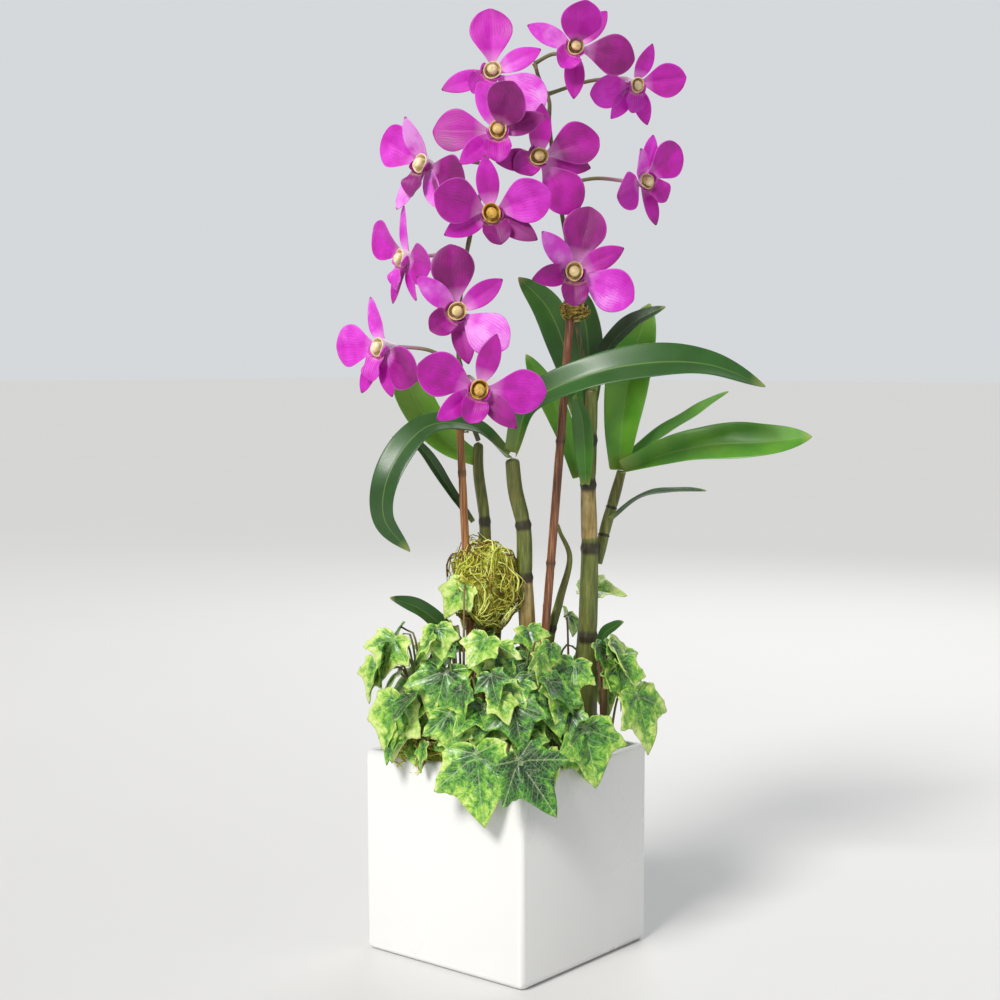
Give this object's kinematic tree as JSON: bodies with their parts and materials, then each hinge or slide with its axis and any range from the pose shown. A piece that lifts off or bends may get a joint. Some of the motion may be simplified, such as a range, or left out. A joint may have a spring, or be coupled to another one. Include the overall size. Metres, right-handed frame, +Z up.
{
  "type": "potted dendrobium orchid",
  "caption": "Dendrobium orchid with magenta flower spikes tied to bamboo stakes, in a white cube planter with moss and variegated ivy.",
  "frame": {"origin": "centre of the planter's underside", "axes": "+Z up; the planter's sides are square to X and Y; the planting faces the corner between -Y and +X"},
  "size_m": [0.2393, 0.2185, 0.5831],
  "materials": {
    "planter_glaze": "white satin glaze",
    "potting_mix": "dark bark and peat, matte",
    "moss": "wiry yellow-green moss, matte",
    "raffia": "yellow-green and brown fibres",
    "bamboo": "red-brown cane skin, satin",
    "spike_green": "olive green, satin",
    "cane": "olive stem with papery tan sheaths and dark nodes",
    "orchid_leaf": "smooth waxy green",
    "petals": "magenta-purple, velvety, cream throat",
    "ivy_leaf": "variegated green, yellow-green edges, waxy"
  },
  "bodies": {
    "root": {"cane_right": "cane", "cane_middle": "cane", "cane_left": "cane", "cane_thin": "cane", "side_growth": "cane", "young_shoot": "cane", "cut_stub": "cane", "stake_left": "bamboo", "stake_right": "bamboo", "spike_left": "spike_green", "spike_right": "spike_green", "moss_ball": "moss", "moss_patch": "moss", "tie_left": "raffia", "tie_right": "raffia", "leaf_left_arching": "orchid_leaf", "leaf_right_arching": "orchid_leaf", "leaf_tall_left": "orchid_leaf", "leaf_tall_right": "orchid_leaf", "leaf_dark_right": "orchid_leaf", "leaf_bright_upright": "orchid_leaf", "leaf_edge_on": "orchid_leaf", "leaf_broad_right": "orchid_leaf", "leaf_low_right": "orchid_leaf", "leaf_pale_tip": "orchid_leaf", "leaf_glossy": "orchid_leaf", "leaf_left_pale": "orchid_leaf", "leaf_left_narrow": "orchid_leaf", "leaf_lower_left": "orchid_leaf", "leaf_lower_right": "orchid_leaf", "flower_01": "petals", "flower_02": "petals", "flower_03": "petals", "flower_04": "petals", "flower_05": "petals", "flower_06": "petals", "flower_07": "petals", "flower_08": "petals", "flower_09": "petals", "flower_10": "petals", "flower_11": "petals", "flower_12": "petals", "flower_13": "petals", "ivy_left": "ivy_leaf", "ivy_left_front": "ivy_leaf", "ivy_left_rim": "ivy_leaf", "ivy_front": "ivy_leaf", "ivy_corner": "ivy_leaf", "ivy_right_front": "ivy_leaf", "ivy_right": "ivy_leaf", "ivy_middle": "ivy_leaf", "ivy_pale": "ivy_leaf", "ivy_back_left": "ivy_leaf", "ivy_back_right": "ivy_leaf", "planter": "planter_glaze", "potting_mix": "potting_mix"}
  },
  "joints": []
}
